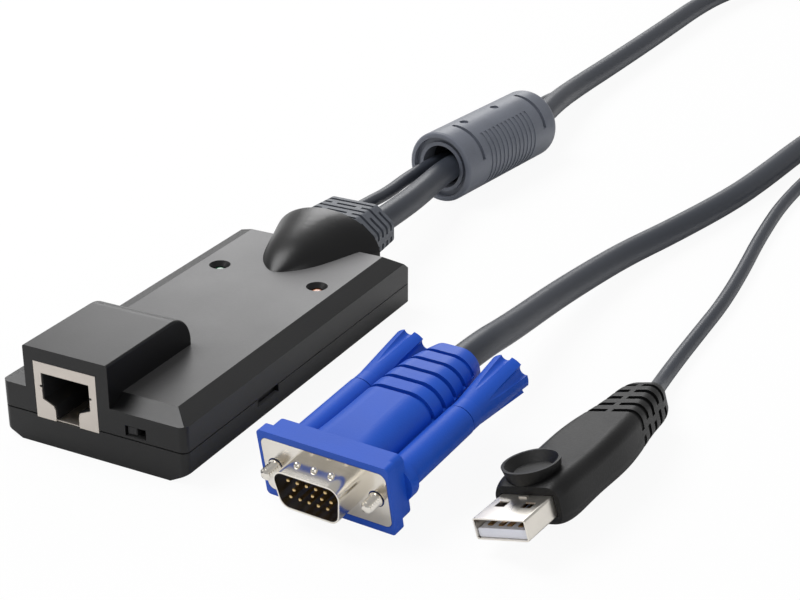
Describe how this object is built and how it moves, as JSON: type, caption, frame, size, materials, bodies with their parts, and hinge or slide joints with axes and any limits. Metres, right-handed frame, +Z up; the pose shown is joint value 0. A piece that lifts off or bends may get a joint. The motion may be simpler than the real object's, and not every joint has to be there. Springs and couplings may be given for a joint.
{
  "type": "kvm dongle",
  "caption": "Server interface dongle: black case with a modular socket, lamps and a slide switch, and two grey leads through a ferrite sleeve to a video plug and a USB plug.",
  "frame": {"origin": "middle of the case's underside, on the surface it lies on", "axes": "+X to the right seen from the socket end, +Y along the case from the socket to the leads, +Z up out of the lid"},
  "size_m": [0.128, 0.457, 0.023],
  "materials": {
    "case_black": "fine satin texture",
    "board_green": "solder mask",
    "component_black": "moulded",
    "tin": "dull tin plate",
    "nylon_black": "moulded",
    "gold": "thin gold plate",
    "lamp_green": "unlit lens",
    "lamp_orange": "unlit lens",
    "boot_grey": "soft moulded",
    "lead_grey": "smooth jacket",
    "sleeve_grey": "soft satin",
    "ferrite_dark": "sintered",
    "plug_blue": "fine spark texture",
    "nickel": "nickel plate",
    "insert_navy": "moulded",
    "usb_black": "spark texture",
    "tongue_white": "moulded"
  },
  "bodies": {
    "dongle": {"upper_case": "case_black", "lower_case": "case_black", "circuit_board": "board_green", "board_parts": "component_black", "socket_shield": "tin", "socket_body": "nylon_black", "socket_contacts": "gold", "link_lamp": "lamp_green", "power_lamp": "lamp_orange", "switch_body": "nylon_black", "case_boot": "boot_grey", "video_lead": "lead_grey", "usb_lead": "lead_grey", "ferrite_sleeve": "sleeve_grey", "ferrite_core": "ferrite_dark", "video_hood": "plug_blue", "video_shell": "nickel", "video_insert": "insert_navy", "video_pins": "gold", "usb_overmould": "usb_black", "usb_shell": "nickel", "usb_tongue": "tongue_white", "usb_contacts": "gold"},
    "left_thumbscrew": {"left_knob": "plug_blue", "left_jackscrew": "nickel"},
    "right_thumbscrew": {"right_knob": "plug_blue", "right_jackscrew": "nickel"},
    "slider": {"switch_slider": "nylon_black"}
  },
  "joints": [
    {"name": "left_thumbscrew_turn", "type": "hinge", "parent": "dongle", "child": "left_thumbscrew", "pos_m": [0.04518, -0.0257, 0.01087], "axis": [0.1207, 0.9829, 0.1392], "continuous": true},
    {"name": "right_thumbscrew_turn", "type": "hinge", "parent": "dongle", "child": "right_thumbscrew", "pos_m": [0.06994, -0.02889, 0.01195], "axis": [0.1207, 0.9829, 0.1392], "continuous": true},
    {"name": "switch_slide", "type": "slide", "parent": "dongle", "child": "slider", "axis": [1, 0, 0], "range_m": [0, 0.0024]}
  ]
}
